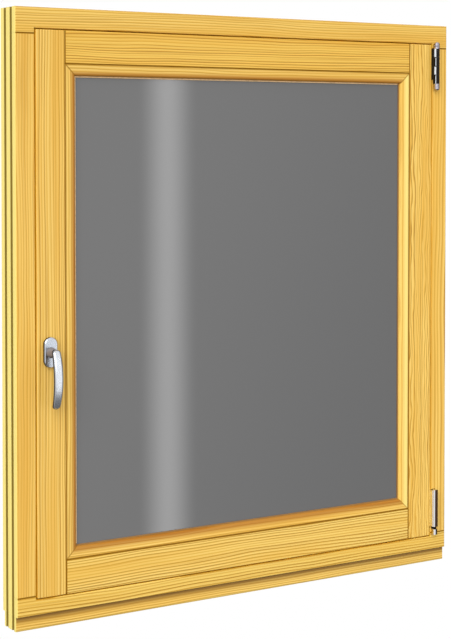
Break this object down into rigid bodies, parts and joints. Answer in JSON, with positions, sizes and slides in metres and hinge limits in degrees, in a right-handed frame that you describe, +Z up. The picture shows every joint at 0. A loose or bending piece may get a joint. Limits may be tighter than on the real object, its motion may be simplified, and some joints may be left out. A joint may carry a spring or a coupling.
{
  "type": "tilt and turn window",
  "caption": "Pine tilt and turn window: a rebated frame on a sub-sill strip, one flush glazed sash with mitred beads, barrel hinges and a lever handle.",
  "frame": {"origin": "middle of the underside of the sub-sill strip, where the window stands on the sill", "axes": "+X to the right seen from the room, +Y to the outside, +Z up"},
  "size_m": [1.216, 0.1405, 1.3935],
  "materials": {
    "pine": "clear satin lacquer over straight-grained pine",
    "rain_rail_aluminium": "plain mill aluminium",
    "seal_rubber": "soft dark seal",
    "pane_glass": "clear float glass",
    "spacer_aluminium": "matt spacer bar",
    "glazing_sealant": "beige sealant",
    "hinge_steel": "bright plated steel",
    "hinge_dark_steel": "dark plated steel",
    "handle_silver": "satin silver anodised"
  },
  "bodies": {
    "window": {"bottom_bead": "pine", "bottom_hinge_bracket": "hinge_dark_steel", "bottom_hinge_cover": "hinge_steel", "bottom_hinge_pin": "hinge_steel", "bottom_hinge_sash_leaf": "hinge_dark_steel", "frame_bottom_rail": "pine", "frame_head": "pine", "frame_left_jamb": "pine", "frame_right_jamb": "pine", "glass_spacer": "spacer_aluminium", "handle_rosette": "handle_silver", "inner_glazing_seal": "glazing_sealant", "inner_pane": "pane_glass", "left_bead": "pine", "outer_glazing_seal": "glazing_sealant", "outer_pane": "pane_glass", "rain_rail": "rain_rail_aluminium", "right_bead": "pine", "sash_bottom_rail": "pine", "sash_left_stile": "pine", "sash_right_stile": "pine", "sash_seal": "seal_rubber", "sash_top_rail": "pine", "sub_sill_strip": "pine", "top_bead": "pine", "top_hinge_frame_leaf": "hinge_steel", "top_hinge_pin": "hinge_steel", "top_hinge_sash_leaf": "hinge_steel"},
    "handle": {"handle_lever": "handle_silver"}
  },
  "joints": [
    {"name": "handle_turn", "type": "hinge", "parent": "window", "child": "handle", "pos_m": [-0.5275, -0.04, 0.623], "axis": [0, -1, 0], "range_deg": [0, 180]}
  ]
}
